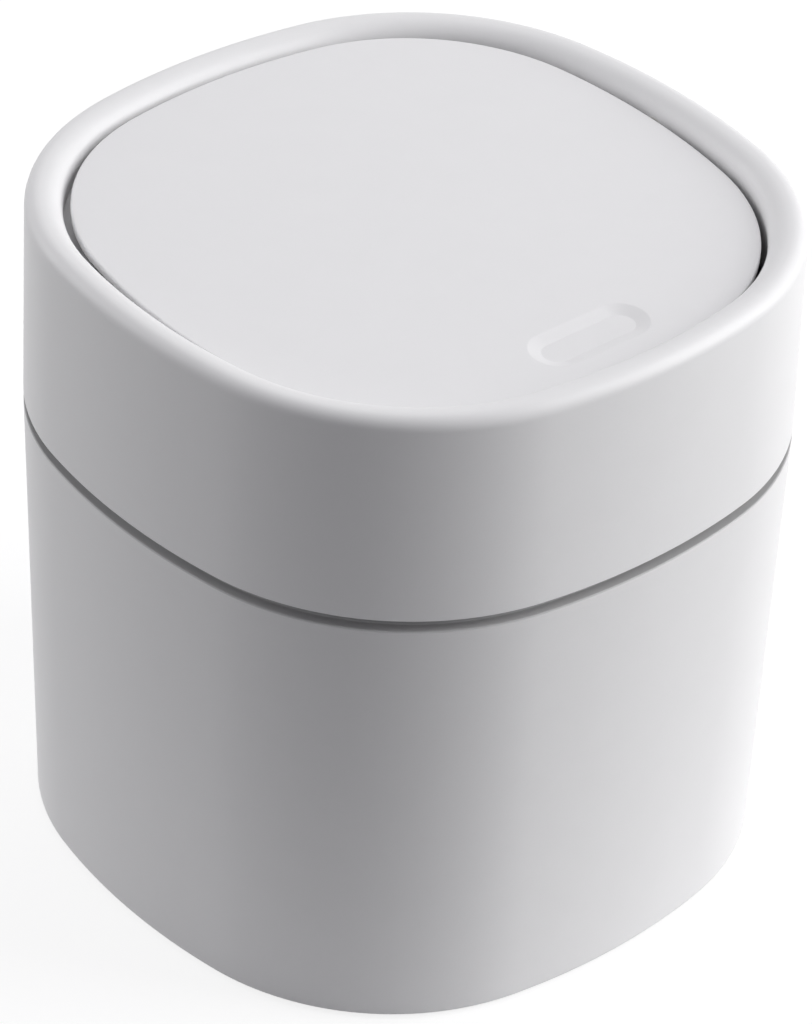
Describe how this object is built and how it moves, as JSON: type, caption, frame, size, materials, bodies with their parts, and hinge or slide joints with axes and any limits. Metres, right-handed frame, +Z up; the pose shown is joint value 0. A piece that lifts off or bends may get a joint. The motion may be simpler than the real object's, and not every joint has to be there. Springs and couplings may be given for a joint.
{
  "type": "countertop trash can with swing lid",
  "caption": "Small countertop bin with a rounded-square body, a lift-off hood with a rolled rim, and a flat swing lid with an oval finger recess.",
  "frame": {"origin": "middle of the base, on the surface that the bin stands on", "axes": "+Z up. +X along the lid's axis, to the right as seen from the finger recess's side. +Y away from the finger recess, which is on the front side, -Y"},
  "size_m": [0.1516, 0.1516, 0.1526],
  "materials": {
    "body_shell": "satin",
    "hood_shell": "satin",
    "lid_shell": "satin",
    "lid_backing": "matte",
    "bush": "satin",
    "foot": "matte",
    "stop": "matte",
    "ballast": "satin",
    "screw": "satin",
    "pin": "satin"
  },
  "bodies": {
    "bin": {"bin_body": "body_shell", "foot_pad_front_left": "foot", "foot_pad_front_right": "foot", "foot_pad_rear_left": "foot", "foot_pad_rear_right": "foot"},
    "hood": {"hood": "hood_shell", "pivot_bush_left": "bush", "pivot_bush_right": "bush", "stop_pad_left": "stop", "stop_pad_right": "stop"},
    "lid": {"swing_lid": "lid_shell", "lid_backing": "lid_backing", "ballast_bar": "ballast", "ballast_screws": "screw", "lid_screws": "screw", "pivot_pin_left": "pin", "pivot_pin_right": "pin"}
  },
  "joints": [
    {"name": "hood_lift", "type": "slide", "parent": "bin", "child": "hood", "axis": [0, 0, 1], "range_m": [0, 0.08]},
    {"name": "lid_swing", "type": "hinge", "parent": "hood", "child": "lid", "pos_m": [0, 0, 0.1451], "axis": [1, 0, 0], "range_deg": [-1.6, 90]}
  ]
}
